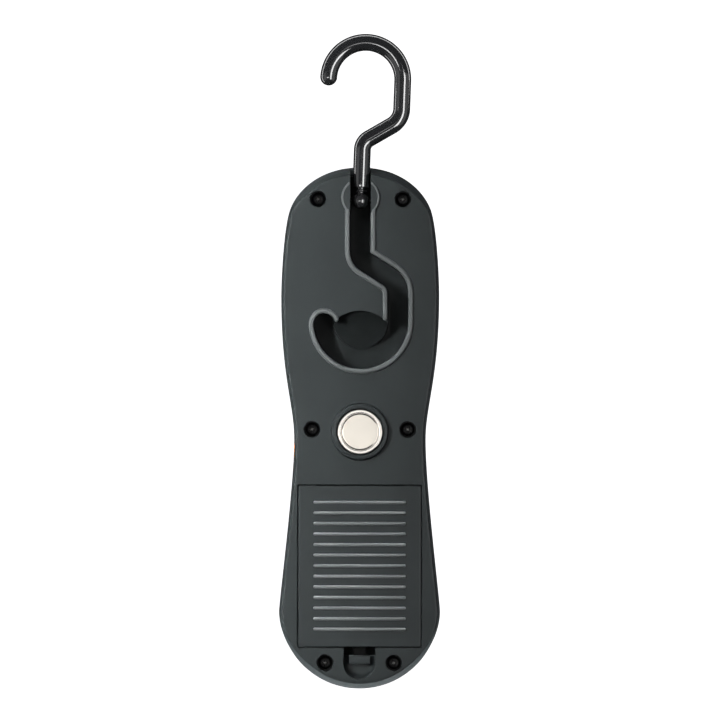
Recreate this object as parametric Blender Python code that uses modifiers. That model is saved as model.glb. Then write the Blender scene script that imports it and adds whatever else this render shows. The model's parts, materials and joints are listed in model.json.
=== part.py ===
"""Hand-held battery work light with a swing-out hanging hook, a magnet and a battery door.

The frame is +Z up along the body, +Y out of the rear face and -Y out of the lens.
The origin is the centre of the magnet's outer face. Sizes below are in millimetres.
"""

import math

import bmesh
import bpy
from mathutils import Matrix, Vector

MM = 0.001

# Body outline, half of it, seen along Y: (x, z, tangent angle in degrees, handle in, handle out).
OUTLINE_KNOTS = (
    (0.0, -103.6, 0.0, 0.0, 15.0),
    (25.6, -91.0, 54.0, 3.6, 4.6),
    (32.45, -72.5, 90.0, 7.9, 4.5),
    (26.5, -3.2, 90.0, 19.0, 14.0),
    (31.85, 54.5, 90.0, 33.0, 6.5),
    (28.2, 89.8, 112.0, 7.2, 8.5),
    (0.0, 106.4, 180.0, 15.8, 0.0),
)
OUTLINE_STEPS = 6

# Depths along Y.
REAR_FACE = -2.6
COVER_EDGE = -7.4
HOUSING_EDGE = -7.7
FRONT_FACE = -34.0
WALL = 2.2
GAP = 0.3

# Hook.
PIVOT_Y = -6.2
PIVOT_Z = 92.9
HOOK_RADIUS = 3.35
HOOK_LEAN = 2.0
HOOK_FOOT = 5.2
HOOK_CORNERS = ((0.0, 23.4, 5.3), (15.2, 32.9, 8.0))
HOOK_BIGHT_V = 48.8
HOOK_BIGHT_U = 0.3
HOOK_BIGHT_RADIUS = 14.9
HOOK_BIGHT_END = 176.0
BALL_RADIUS = 3.4
PIN_RADIUS = 1.0
PIN_HALF = 7.2

# Recess for the folded hook.
SLOT_HALF = 4.15
SLOT_FLOOR = -10.8
TUB_WALL = 1.5
BEAD_WIDTH = 2.0
BEAD_HEIGHT = 0.8
EAR_RADIUS = 7.7
EAR_Z = 94.0
POCKET_RADIUS = 15.0
POCKET_Z = 33.5
POCKET_SHALLOW = 1.4
POCKET_DEEP = 8.0

# Magnet.
MAGNET_RADIUS = 9.0
MAGNET_DISC_RADIUS = 7.45
MAGNET_DEPTH = 5.1
BOSS_RADIUS = 11.4
BOSS_TOP = -0.5

# Screws: (x, z) of the right-hand three, mirrored for the others.
SCREW_PLACES = ((17.0, 93.4), (19.2, 0.9), (13.8, -92.85))
WELL_RADIUS = 3.1
WELL_FLOOR = -7.6
SCREW_HEAD_RADIUS = 2.65
SCREW_SHAFT_RADIUS = 1.2
SCREW_TIP = -22.0
SCREW_POST_RADIUS = 3.2
SCREW_POST_TOP = -10.4

# Battery bay and door.
DOOR_HALF = 24.6
DOOR_TOP = -21.7
DOOR_BOTTOM = -86.4
DOOR_THICKNESS = 2.0
RIB_COUNT = 13
RIB_TOP_Z = -28.5
RIB_PITCH = 4.26
RIB_HALF = 18.95
RIB_HEIGHT = 0.7
RIB_THICKNESS = 2.0
RIB_SLOPE = 0.45
HINGE_TAB_X = 14.5
BAY_HALF = 22.6
BAY_TOP = -24.2
BAY_BOTTOM = -83.4
BAY_FLOOR = -20.5
CELL_RADIUS = 7.25
CELL_LENGTH = 50.5
CELL_Y = -12.7
CELL_PITCH = 14.9
CONTACT_THICKNESS = 0.4

# Door latch.
LATCH_POCKET_HALF = 6.35
LATCH_POCKET_BOTTOM = -99.4
LATCH_POCKET_FLOOR = -6.3
TAB_HALF = 4.2
TAB_TOP = -89.8
TAB_BOTTOM = -93.3

# Lens, bezel and light source on the front.
LENS_HALF = 15.0
LENS_LOW = -58.0
LENS_HIGH = 78.0
BEZEL_HALF = 18.6
BEZEL_OUTER = -35.2

# Power button on the +X side of the waist.
BUTTON_Z = -10.0
BUTTON_Y = -13.2
BUTTON_HALF_Y = 3.0
BUTTON_HALF_Z = 5.7
BUTTON_FACE = 26.85

for existing in list(bpy.data.objects):
    bpy.data.objects.remove(existing, do_unlink=True)

parts = bpy.data.collections.new("work_light")
cutters = bpy.data.collections.new("cutters")
bpy.context.scene.collection.children.link(parts)
bpy.context.scene.collection.children.link(cutters)
cutters.hide_render = True


def make_material(name, colour, roughness, metallic=0.0):
    material = bpy.data.materials.new(name)
    material.use_nodes = True
    shader = material.node_tree.nodes["Principled BSDF"]
    shader.inputs["Base Color"].default_value = (*colour, 1.0)
    shader.inputs["Roughness"].default_value = roughness
    shader.inputs["Metallic"].default_value = metallic
    return material


SLATE = make_material("slate_plastic", (0.045, 0.053, 0.055), 0.55)
BLACK = make_material("black_gloss_plastic", (0.01, 0.01, 0.011), 0.2)
ORANGE = make_material("orange_rubber", (0.9, 0.25, 0.03), 0.5)
CLEAR = make_material("clear_plastic", (0.85, 0.87, 0.88), 0.15)
WHITE = make_material("white_plastic", (0.85, 0.85, 0.83), 0.4)
PHOSPHOR = make_material("led_phosphor", (0.85, 0.65, 0.12), 0.5)
ALUMINIUM = make_material("aluminium", (0.75, 0.76, 0.77), 0.35, 1.0)
BOARD = make_material("circuit_board", (0.03, 0.16, 0.07), 0.5)
NICKEL = make_material("nickel", (0.83, 0.80, 0.74), 0.25, 1.0)
STEEL = make_material("blackened_steel", (0.05, 0.05, 0.05), 0.4, 1.0)
SPRING = make_material("spring_steel", (0.72, 0.72, 0.7), 0.3, 1.0)
CELL = make_material("cell_jacket", (0.12, 0.2, 0.35), 0.35)
RED = make_material("red_wire", (0.6, 0.03, 0.02), 0.5)
DARK = make_material("dark_wire", (0.02, 0.02, 0.02), 0.5)


def add_object(name, data, material, collection=parts):
    created = bpy.data.objects.new(name, data)
    collection.objects.link(created)
    if collection is cutters:
        created.hide_render = True
        created.display_type = "WIRE"
    if material:
        data.materials.append(material)
    return created


def finish_mesh(name, bm, material, collection=parts, smooth=None):
    """Turns the bmesh, in millimetres, into an object with its faces outward."""
    bmesh.ops.scale(bm, vec=(MM, MM, MM), verts=bm.verts)
    bmesh.ops.recalc_face_normals(bm, faces=bm.faces)
    mesh = bpy.data.meshes.new(name)
    bm.to_mesh(mesh)
    bm.free()
    if smooth:
        mesh.shade_smooth()
        mesh.set_sharp_from_angle(angle=math.radians(smooth))
    return add_object(name, mesh, material, collection)


def loft(name, rings, material=None, collection=parts, smooth=35):
    """A closed body through rings of points that have the same count."""
    bm = bmesh.new()
    loops = [[bm.verts.new(point) for point in ring] for ring in rings]
    for low, high in zip(loops, loops[1:]):
        for i in range(len(low)):
            j = (i + 1) % len(low)
            bm.faces.new((low[i], low[j], high[j], high[i]))
    bm.faces.new(loops[0])
    bm.faces.new(loops[-1])
    return finish_mesh(name, bm, material, collection, smooth)


def prism(name, outline, y_low, y_high, material=None, collection=parts, smooth=35):
    """A flat outline of (x, z) points, extruded along Y."""
    rings = [[(x, y, z) for x, z in outline] for y in (y_low, y_high)]
    return loft(name, rings, material, collection, smooth)


def box(name, low, high, material=None, collection=parts):
    bm = bmesh.new()
    bmesh.ops.create_cube(bm, size=1.0)
    size = Vector(high) - Vector(low)
    bmesh.ops.scale(bm, vec=size, verts=bm.verts)
    bmesh.ops.translate(bm, vec=(Vector(high) + Vector(low)) / 2, verts=bm.verts)
    return finish_mesh(name, bm, material, collection)


def rod(name, start, end, radius, material=None, collection=parts, segments=24, end_radius=None):
    """A cylinder or cone between two points."""
    axis = Vector(end) - Vector(start)
    bm = bmesh.new()
    bmesh.ops.create_cone(
        bm,
        cap_ends=True,
        segments=segments,
        radius1=radius,
        radius2=radius if end_radius is None else end_radius,
        depth=axis.length,
    )
    turn = Vector((0, 0, 1)).rotation_difference(axis).to_matrix().to_4x4()
    place = Matrix.Translation((Vector(start) + Vector(end)) / 2) @ turn
    bmesh.ops.transform(bm, matrix=place, verts=bm.verts)
    return finish_mesh(name, bm, material, collection, 35)


def turned(name, profile, place, axis, material, steps=20):
    """A profile of (radius, height) points, listed top to bottom, turned about an axis through place."""
    mesh = bpy.data.meshes.new(name)
    points = [(radius * MM, 0, height * MM) for radius, height in profile]
    mesh.from_pydata(points, [(i, i + 1) for i in range(len(points) - 1)], [])
    created = add_object(name, mesh, material)
    created.location = Vector(place) * MM
    created.rotation_mode = "QUATERNION"
    created.rotation_quaternion = Vector((0, 0, 1)).rotation_difference(Vector(axis))
    screw = created.modifiers.new("turn", "SCREW")
    screw.steps = steps
    screw.render_steps = steps
    screw.use_merge_vertices = True
    screw.merge_threshold = 0.00001
    return created


def tube(name, points, radius, material, resolution=2):
    """A wire through points, with closed ends."""
    curve = bpy.data.curves.new(name, "CURVE")
    curve.dimensions = "3D"
    curve.bevel_depth = radius * MM
    curve.bevel_resolution = resolution
    curve.use_fill_caps = True
    spline = curve.splines.new("POLY")
    spline.points.add(len(points) - 1)
    for point, place in zip(spline.points, points):
        point.co = (*(Vector(place) * MM), 1.0)
    return add_object(name, curve, material)


def as_mesh(created):
    """Replaces a curve object by its mesh, with the caps welded on."""
    graph = bpy.context.evaluated_depsgraph_get()
    mesh = bpy.data.meshes.new_from_object(created.evaluated_get(graph))
    bm = bmesh.new()
    bm.from_mesh(mesh)
    bmesh.ops.remove_doubles(bm, verts=bm.verts, dist=0.000001)
    bmesh.ops.recalc_face_normals(bm, faces=bm.faces)
    bm.to_mesh(mesh)
    bm.free()
    name = created.name
    place = created.matrix_world.copy()
    bpy.data.objects.remove(created)
    replaced = bpy.data.objects.new(name, mesh)
    replaced.matrix_world = place
    parts.objects.link(replaced)
    return replaced


def combine(target, tool, operation):
    modifier = target.modifiers.new(tool.name, "BOOLEAN")
    modifier.operation = operation
    modifier.solver = "EXACT"
    modifier.object = tool


def cut(target, *tools):
    for tool in tools:
        combine(target, tool, "DIFFERENCE")


def join(target, *tools):
    for tool in tools:
        combine(target, tool, "UNION")


def bezier(start, start_handle, end_handle, end, steps):
    """Points from start up to, not including, end."""
    found = []
    for i in range(steps):
        t = i / steps
        s = 1 - t
        found.append(s**3 * start + 3 * s * s * t * start_handle + 3 * s * t * t * end_handle + t**3 * end)
    return found


def body_outline(inset):
    """The body's outline, moved inward by inset, as (x, z) points from the bottom round by +X."""
    half = []
    for first, second in zip(OUTLINE_KNOTS, OUTLINE_KNOTS[1:]):
        start = Vector(first[:2])
        end = Vector(second[:2])
        out = Vector((math.cos(math.radians(first[2])), math.sin(math.radians(first[2])))) * first[4]
        back = Vector((math.cos(math.radians(second[2])), math.sin(math.radians(second[2])))) * second[3]
        half += bezier(start, start + out, end - back, end, OUTLINE_STEPS)
    half.append(Vector(OUTLINE_KNOTS[-1][:2]))
    whole = half + [Vector((-point.x, point.y)) for point in half[-2:0:-1]]
    moved = []
    for i, point in enumerate(whole):
        along = (whole[(i + 1) % len(whole)] - whole[i - 1]).normalized()
        moved.append((point.x - along.y * inset, point.y + along.x * inset))
    return moved


def body_rings(steps):
    """Rings of the body's outline for (inset, y) steps."""
    return [[(x, y, z) for x, z in body_outline(inset)] for inset, y in steps]


def arc(centre, radius, first, last, steps):
    """Points on an arc, angles in degrees."""
    return [
        Vector(centre) + radius * Vector((math.cos(math.radians(a)), math.sin(math.radians(a))))
        for a in (first + (last - first) * i / steps for i in range(steps + 1))
    ]


def capsule(half, low, high, steps=10):
    """A slot shape of (x, z) points, round at both ends."""
    return [tuple(p) for p in arc((0, high), half, 0, 180, steps) + arc((0, low), half, 180, 360, steps)]


def fillet(before, corner, after, radius, steps):
    """Points of the arc that rounds a corner."""
    into = (before - corner).normalized()
    out = (after - corner).normalized()
    half_angle = into.angle(out) / 2
    centre = corner + (into + out).normalized() * radius / math.sin(half_angle)
    reach = radius / math.tan(half_angle)
    first = (corner + into * reach - centre).normalized()
    last = (corner + out * reach - centre).normalized()
    return [centre + first.slerp(last, i / steps) * radius for i in range(steps + 1)]


def hook_path(foot, least_radius=0.0):
    """The hook's centreline in its own plane, as (u, v) points from its foot to its tip."""
    (u1, v1, r1), (u2, v2, r2) = HOOK_CORNERS
    points = [Vector((0.0, foot))]
    first = Vector((u1, v1))
    second = Vector((u2, v2))
    third = Vector((u2, HOOK_BIGHT_V))
    points += fillet(points[0], first, second, max(r1, least_radius), 5)
    points += fillet(first, second, third, max(r2, least_radius), 5)
    points += arc((HOOK_BIGHT_U, HOOK_BIGHT_V), HOOK_BIGHT_RADIUS, 0, HOOK_BIGHT_END, 18)
    return points


def recess_outline(foot, half):
    """The (x, z) outline of a band along the folded hook, square at its foot and round at its tip."""
    path = hook_path(foot, half + 0.5)
    left = []
    right = []
    last = len(path) - 1
    for i, point in enumerate(path):
        along = (path[min(i + 1, last)] - path[max(i - 1, 0)]).normalized()
        across = Vector((-along.y, along.x))
        left.append(point + across * half)
        right.append(point - across * half)
    heading = math.degrees(math.atan2(along.y, along.x))
    end = arc(path[-1], half, heading - 90, heading + 90, 8)[1:-1]
    return [(-p.x, PIVOT_Z - p.y) for p in right + end + left[::-1]]


def half_disc(radius):
    """The upper half of the finger pocket's circle, as (x, z) points."""
    points = [tuple(point) for point in arc((0, POCKET_Z), radius, 0, 180, 22)]
    return points + [(-radius, POCKET_Z - 0.5), (radius, POCKET_Z - 0.5)]


def pocket_floor(z):
    """The finger pocket gets deeper from its top edge down to the hook's recess."""
    down = (POCKET_Z + POCKET_RADIUS - z) / POCKET_RADIUS
    return REAR_FACE - POCKET_SHALLOW - down * (POCKET_DEEP - POCKET_SHALLOW)


def mirrored_places():
    """The six screw places, numbered from the top."""
    return [(side * x, z) for x, z in SCREW_PLACES for side in (1, -1)]


def tool_prism(name, outline, y_low, y_high):
    return prism(name, outline, y_low, y_high, None, cutters)


def tool_box(name, low, high):
    return box(name, low, high, None, cutters)


def tool_rod(name, start, end, radius, segments=24, end_radius=None):
    return rod(name, start, end, radius, None, cutters, segments, end_radius)


def rear_cover():
    outside = ((3.0, REAR_FACE), (2.2, -2.85), (1.7, -3.6), (0.5, COVER_EDGE))
    inside = ((0.5 + WALL, COVER_EDGE), (5.0, REAR_FACE - WALL))
    cover = loft("rear_cover", body_rings(outside + inside), SLATE)

    join(cover, tool_prism("hook_tub", recess_outline(-10.6, SLOT_HALF + TUB_WALL), -12.2, -4.0))
    bead = recess_outline(0.0, SLOT_HALF + BEAD_WIDTH)
    join(cover, tool_prism("hook_bead", bead, -4.1, REAR_FACE + BEAD_HEIGHT))
    ear_top = REAR_FACE + BEAD_HEIGHT + 0.05
    join(cover, tool_rod("ears", (0, -4.1, EAR_Z), (0, ear_top, EAR_Z), EAR_RADIUS, 28))
    join(cover, tool_box("pin_block", (-8.6, -9.3, 88.4), (8.6, -3.9, 97.4)))
    pocket_wall = half_disc(POCKET_RADIUS + 1.4)
    join(cover, tool_prism("pocket_tub", pocket_wall, -11.9, -3.8))
    join(cover, tool_rod("magnet_boss", (0, -7.2, 0), (0, BOSS_TOP, 0), BOSS_RADIUS, 32, BOSS_RADIUS - 1.1))
    for number, (x, z) in enumerate(mirrored_places(), 1):
        join(cover, tool_rod(f"well_wall_{number}", (x, -9.9, z), (x, -3.7, z), WELL_RADIUS + 1.2, 20))
    join(cover, tool_box("bay_frame", (-26.0, -6.6, -87.8), (26.0, -3.9, -20.2)))
    join(cover, tool_box("bay_tub", (-24.0, BAY_FLOOR - 1.5, -84.8), (24.0, -4.2, -22.8)))
    latch_wall = capsule(LATCH_POCKET_HALF + 1.2, LATCH_POCKET_BOTTOM + LATCH_POCKET_HALF, -90.0)
    join(cover, tool_prism("latch_tub", latch_wall, -7.5, -3.75))

    cut(cover, tool_prism("hook_slot", recess_outline(-20.0, SLOT_HALF), SLOT_FLOOR, 1.0))
    mouth = [(x, 1.0, z) for x, z in half_disc(POCKET_RADIUS)]
    floor = [(x, pocket_floor(z), z) for x, z in half_disc(POCKET_RADIUS)]
    cut(cover, loft("finger_pocket", [floor, mouth], None, cutters))
    lean = math.radians(HOOK_LEAN / 2)
    reach = Vector((math.cos(lean), 0, math.sin(lean))) * (PIN_HALF + GAP)
    pivot = Vector((0, PIVOT_Y, PIVOT_Z))
    cut(cover, tool_rod("pin_hole", pivot - reach, pivot + reach, PIN_RADIUS + 0.3, 16))
    cut(cover, tool_rod("magnet_socket", (0, -5.4, 0), (0, 1.0, 0), MAGNET_RADIUS + GAP, 32))
    for number, (x, z) in enumerate(mirrored_places(), 1):
        cut(cover, tool_rod(f"well_{number}", (x, WELL_FLOOR, z), (x, 1.0, z), WELL_RADIUS, 20))
        hole = SCREW_SHAFT_RADIUS + 0.4
        cut(cover, tool_rod(f"screw_hole_{number}", (x, -12.0, z), (x, -6.0, z), hole, 12))
    seat_low = (-DOOR_HALF - GAP, -4.9, DOOR_BOTTOM - GAP)
    seat_high = (DOOR_HALF + GAP, 1.0, DOOR_TOP + GAP)
    cut(cover, tool_box("door_seat", seat_low, seat_high))
    cut(cover, tool_box("battery_bay", (-BAY_HALF, BAY_FLOOR, BAY_BOTTOM), (BAY_HALF, 1.0, BAY_TOP)))
    for side, name in ((1, "right"), (-1, "left")):
        x = side * HINGE_TAB_X
        cut(cover, tool_box(f"hinge_slot_{name}", (x - 3.5, -9.6, -27.0), (x + 3.5, -4.6, -18.9)))
    latch_pocket = capsule(LATCH_POCKET_HALF, LATCH_POCKET_BOTTOM + LATCH_POCKET_HALF, -90.0)
    cut(cover, tool_prism("latch_pocket", latch_pocket, LATCH_POCKET_FLOOR, 1.1))
    return cover


def front_housing():
    outside = ((5.4, FRONT_FACE), (3.0, -32.6), (1.4, -29.0), (0.0, -19.0), (0.0, HOUSING_EDGE))
    wall = WALL + 0.1
    inside = ((wall, HOUSING_EDGE), (wall, -19.0), (wall + 1.3, -28.6), (5.6, FRONT_FACE + 2.0))
    housing = loft("front_housing", body_rings(outside + inside), SLATE)
    for number, (x, z) in enumerate(mirrored_places(), 1):
        top = (x, SCREW_POST_TOP, z)
        join(housing, tool_rod(f"post_{number}", (x, -33.0, z), top, SCREW_POST_RADIUS, 16))
        foot = (x, SCREW_TIP - 1, z)
        cut(housing, tool_rod(f"pilot_{number}", foot, (x, -9.0, z), SCREW_SHAFT_RADIUS + GAP, 12))
    cut(housing, tool_prism("window", capsule(LENS_HALF - 1.5, LENS_LOW, LENS_HIGH), -36.0, -31.0))
    cut(housing, tool_prism("lens_seat", capsule(LENS_HALF + GAP, LENS_LOW, LENS_HIGH), -36.0, -32.9))
    notch_half = SLOT_HALF + 0.1
    cut(housing, tool_box("hook_notch", (-notch_half, SLOT_FLOOR, 98.0), (notch_half, -6.5, 110.0)))
    low = (22.0, BUTTON_Y - BUTTON_HALF_Y - GAP, BUTTON_Z - BUTTON_HALF_Z - GAP)
    high = (30.0, BUTTON_Y + BUTTON_HALF_Y + GAP, BUTTON_Z + BUTTON_HALF_Z + GAP)
    cut(housing, tool_box("button_hole", low, high))
    return housing


def hook():
    lean = math.radians(HOOK_LEAN)
    path = []
    for point in hook_path(HOOK_FOOT):
        x = -(point.x * math.cos(lean) + point.y * math.sin(lean))
        z = PIVOT_Z + point.y * math.cos(lean) - point.x * math.sin(lean)
        path.append(Vector((x, PIVOT_Y, z)))
    up = Vector((-math.sin(lean), 0, math.cos(lean)))
    pivot = Vector((0, PIVOT_Y, PIVOT_Z))
    created = as_mesh(tube("hook", path, HOOK_RADIUS, BLACK, 4))
    tip = bmesh.new()
    bmesh.ops.create_uvsphere(tip, u_segments=16, v_segments=10, radius=HOOK_RADIUS - 0.02)
    bmesh.ops.translate(tip, vec=path[-1], verts=tip.verts)
    join(created, finish_mesh("hook_tip", tip, None, cutters))
    ball = bmesh.new()
    bmesh.ops.create_uvsphere(ball, u_segments=20, v_segments=12, radius=BALL_RADIUS)
    bmesh.ops.translate(ball, vec=pivot, verts=ball.verts)
    join(created, tool_rod("hook_neck", pivot + up * 1.5, pivot + up * (HOOK_FOOT + 1.0), 1.9, 16))
    join(created, finish_mesh("hook_ball", ball, None, cutters))
    half = math.radians(HOOK_LEAN / 2)
    reach = Vector((math.cos(half), 0, math.sin(half))) * 5.0
    cut(created, tool_rod("hook_bore", pivot - reach, pivot + reach, PIN_RADIUS + 0.3, 16))
    reach = reach.normalized() * PIN_HALF
    rod("hook_pin", pivot - reach, pivot + reach, PIN_RADIUS, STEEL, segments=16)


def magnet():
    depth = MAGNET_DEPTH
    groove = MAGNET_DISC_RADIUS + GAP
    profile = (
        (groove, 1.3 - depth),
        (groove, 0.0),
        (MAGNET_RADIUS - 0.4, 0.0),
        (MAGNET_RADIUS, -0.4),
        (MAGNET_RADIUS, -depth),
        (0.0, -depth),
    )
    cup_profile = ((0.0, 1.3 - depth), *profile)
    turned("magnet_cup", cup_profile, (0, 0, 0), (0, 1, 0), NICKEL, 32)
    rod("magnet_disc", (0, 1.6 - depth, 0), (0, 0, 0), MAGNET_DISC_RADIUS, NICKEL, segments=32)


def screws():
    for number, (x, z) in enumerate(mirrored_places(), 1):
        profile = (
            (0.0, 1.9),
            (SCREW_HEAD_RADIUS - 0.7, 1.9),
            (SCREW_HEAD_RADIUS, 1.1),
            (SCREW_HEAD_RADIUS, 0.0),
            (SCREW_SHAFT_RADIUS, 0.0),
            (SCREW_SHAFT_RADIUS, SCREW_TIP - WELL_FLOOR + 1.5),
            (0.0, SCREW_TIP - WELL_FLOOR),
        )
        turned(f"housing_screw_{number}", profile, (x, WELL_FLOOR + GAP, z), (0, 1, 0), STEEL, 16)


def battery_door():
    inner = REAR_FACE - DOOR_THICKNESS
    door = box("battery_door", (-DOOR_HALF, inner, DOOR_BOTTOM), (DOOR_HALF, REAR_FACE, DOOR_TOP), SLATE)
    for number in range(RIB_COUNT):
        z = RIB_TOP_Z - number * RIB_PITCH
        half = RIB_THICKNESS / 2
        crest = half - RIB_SLOPE
        rings = []
        for y, spread in ((REAR_FACE - 1.0, half), (REAR_FACE, half), (REAR_FACE + RIB_HEIGHT, crest)):
            reach = RIB_HALF - half + spread
            corners = ((-reach, -spread), (reach, -spread), (reach, spread), (-reach, spread))
            rings.append([(x, y, z + rise) for x, rise in corners])
        join(door, loft(f"rib_{number + 1}", rings, None, cutters))
    for side, name in ((1, "right"), (-1, "left")):
        x = side * HINGE_TAB_X
        join(door, tool_box(f"hinge_tab_{name}", (x - 3.0, -6.3, -25.0), (x + 3.0, -4.3, DOOR_TOP - 0.9)))
        join(door, tool_box(f"hinge_lip_{name}", (x - 2.9, -6.2, -24.0), (x + 2.9, -5.1, -19.8)))
    guide = tool_box("latch_guide", (-3.0, -5.7, DOOR_BOTTOM - 1.0), (3.0, -3.0, DOOR_BOTTOM + 1.0))
    join(door, guide)


def door_latch():
    """The spring tab that holds the door shut: a finger tab, its stem and the catch nose."""
    latch = box("door_latch", (-TAB_HALF, -4.6, TAB_BOTTOM), (TAB_HALF, -3.0, TAB_TOP), SLATE)
    join(latch, tool_box("latch_stem", (-1.8, -4.4, TAB_TOP - 1.0), (1.8, -3.4, TAB_TOP + 0.6)))
    join(latch, tool_box("latch_nose", (-3.2, -5.8, TAB_BOTTOM - 0.7), (3.2, -4.2, TAB_BOTTOM + 1.4)))


def lens_rings(sizes):
    """Rings of the lens's slot shape, one for each (y, half width)."""
    return [[(x, y, z) for x, z in capsule(half, LENS_LOW, LENS_HIGH)] for y, half in sizes]


def front_parts():
    prism("lens", capsule(LENS_HALF, LENS_LOW, LENS_HIGH), -34.6, -33.1, CLEAR)
    outline = capsule(BEZEL_HALF, LENS_LOW, LENS_HIGH)
    bezel = prism("front_bezel", outline, BEZEL_OUTER, FRONT_FACE - GAP, ORANGE)
    cut(bezel, tool_prism("bezel_window", capsule(LENS_HALF + 0.4, LENS_LOW, LENS_HIGH), -37.0, -33.0))
    reflector = loft("reflector", lens_rings(((-31.8, 13.0), (-26.9, 11.0))), WHITE)
    dish = lens_rings(((-32.5, 12.2), (-27.8, 9.6)))
    cut(reflector, loft("reflector_dish", dish, None, cutters))
    cut(reflector, tool_box("led_opening", (-5.6, -30.0, -56.6), (5.6, -25.0, 76.6)))
    box("led_board", (-10.5, -26.4, -66.0), (10.5, -25.2, 86.0), ALUMINIUM)
    box("cob_led", (-5.0, -27.5, -55.0), (5.0, -26.7, 75.0), PHOSPHOR)


def electronics():
    box("driver_board", (-15.4, -16.0, -18.0), (15.4, -14.4, 14.0), BOARD)
    switch = box("switch_body", (12.0, -14.1, -13.2), (18.6, -9.9, -6.8), BLACK)
    axis_y = -12.0
    cut(switch, tool_rod("switch_bore", (14.0, axis_y, BUTTON_Z), (20.0, axis_y, BUTTON_Z), 1.6, 12))
    rod("switch_plunger", (15.6, axis_y, BUTTON_Z), (21.9, axis_y, BUTTON_Z), 1.3, WHITE, segments=12)
    low = (22.3, BUTTON_Y - BUTTON_HALF_Y, BUTTON_Z - BUTTON_HALF_Z)
    high = (BUTTON_FACE, BUTTON_Y + BUTTON_HALF_Y, BUTTON_Z + BUTTON_HALF_Z)
    button = box("power_button", low, high, ORANGE)
    flange_low = (22.2, low[1] - 1.0, low[2] - 1.0)
    flange_high = (23.4, high[1] + 1.0, high[2] + 1.0)
    join(button, tool_box("button_flange", flange_low, flange_high))
    red = ((-14.9, -11.0, -22.4), (-14.9, -11.2, -20.6), (-13.6, -12.6, -18.6), (-12.4, -13.4, -16.4))
    dark = ((-8.0, -11.0, -22.4), (-8.0, -11.2, -20.6), (-8.6, -12.6, -18.6), (-9.2, -13.4, -16.4))
    tube("battery_lead_positive", red, 0.6, RED, 1)
    tube("battery_lead_negative", dark, 0.6, DARK, 1)
    led_red = ((-4.0, -16.8, -6.0), (-4.0, -19.0, -6.4), (-4.0, -22.0, -7.2), (-4.0, -24.5, -8.0))
    led_dark = ((4.0, -16.8, -6.0), (4.0, -19.0, -6.4), (4.0, -22.0, -7.2), (4.0, -24.5, -8.0))
    tube("led_lead_positive", led_red, 0.6, RED, 1)
    tube("led_lead_negative", led_dark, 0.6, DARK, 1)


def spring_points(x, foot, head):
    """A conical coil from its foot, the wide end, to its head."""
    turns = 3
    each = 9
    total = turns * each
    found = []
    for i in range(total + 1):
        t = i / total
        radius = 4.0 - 1.6 * t
        angle = 2 * math.pi * turns * t
        place = (x + radius * math.cos(angle), CELL_Y + radius * math.sin(angle), foot + (head - foot) * t)
        found.append(place)
    return found


def batteries():
    tip = 1.0
    nub = 2.7
    low_plate = BAY_BOTTOM + GAP
    high_plate = BAY_TOP - GAP
    for number, x in enumerate((-CELL_PITCH, 0.0, CELL_PITCH), 1):
        profile = (
            (0.0, CELL_LENGTH),
            (nub, CELL_LENGTH),
            (nub, CELL_LENGTH - tip),
            (CELL_RADIUS - 0.6, CELL_LENGTH - tip),
            (CELL_RADIUS, CELL_LENGTH - tip - 0.6),
            (CELL_RADIUS, 0.4),
            (CELL_RADIUS - 0.5, 0.0),
            (0.0, 0.0),
        )
        if number == 2:
            foot = low_plate + CONTACT_THICKNESS + GAP + CELL_LENGTH
            turned(f"battery_cell_{number}", profile, (x, CELL_Y, foot), (0, 0, -1), CELL)
            coil = spring_points(x, high_plate - CONTACT_THICKNESS - 0.75, foot + 0.75)
        else:
            foot = high_plate - CONTACT_THICKNESS - GAP - CELL_LENGTH
            turned(f"battery_cell_{number}", profile, (x, CELL_Y, foot), (0, 0, 1), CELL)
            coil = spring_points(x, low_plate + CONTACT_THICKNESS + 0.75, foot - 0.75)
        tube(f"battery_spring_{number}", coil, 0.4, SPRING, 1)
    plates = (
        ("contact_positive", -19.9, -9.9, high_plate - CONTACT_THICKNESS),
        ("contact_link_high", -5.0, 19.9, high_plate - CONTACT_THICKNESS),
        ("contact_link_low", -19.9, 5.0, low_plate),
        ("contact_negative", 9.9, 19.9, low_plate),
    )
    for name, left, right, z in plates:
        box(name, (left, CELL_Y - 5.0, z), (right, CELL_Y + 5.0, z + CONTACT_THICKNESS), SPRING)


rear_cover()
front_housing()
hook()
magnet()
screws()
battery_door()
door_latch()
front_parts()
electronics()
batteries()
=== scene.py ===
"""Looks for the battery work light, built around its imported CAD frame."""

import json
import math

import bmesh
import bpy
from mathutils import Matrix, Quaternion, Vector


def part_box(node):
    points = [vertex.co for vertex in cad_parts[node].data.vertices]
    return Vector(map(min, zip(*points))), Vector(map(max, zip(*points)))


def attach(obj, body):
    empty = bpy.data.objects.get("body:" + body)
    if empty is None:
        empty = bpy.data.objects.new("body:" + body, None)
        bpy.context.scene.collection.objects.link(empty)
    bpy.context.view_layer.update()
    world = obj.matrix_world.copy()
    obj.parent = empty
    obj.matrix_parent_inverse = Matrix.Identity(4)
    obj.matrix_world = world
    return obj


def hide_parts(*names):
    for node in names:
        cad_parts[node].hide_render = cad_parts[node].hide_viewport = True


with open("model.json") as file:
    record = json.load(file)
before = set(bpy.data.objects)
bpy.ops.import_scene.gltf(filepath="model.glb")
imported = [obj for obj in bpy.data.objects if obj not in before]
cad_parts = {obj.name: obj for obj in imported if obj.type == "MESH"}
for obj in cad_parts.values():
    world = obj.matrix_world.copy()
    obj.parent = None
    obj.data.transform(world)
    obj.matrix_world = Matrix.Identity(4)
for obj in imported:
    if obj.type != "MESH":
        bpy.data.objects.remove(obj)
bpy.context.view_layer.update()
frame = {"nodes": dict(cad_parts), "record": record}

MM = 0.001

# ---------------------------------------------------------------- places from the frame, in millimetres


def box_mm(node):
    low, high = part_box(node)
    return low / MM, high / MM


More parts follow.
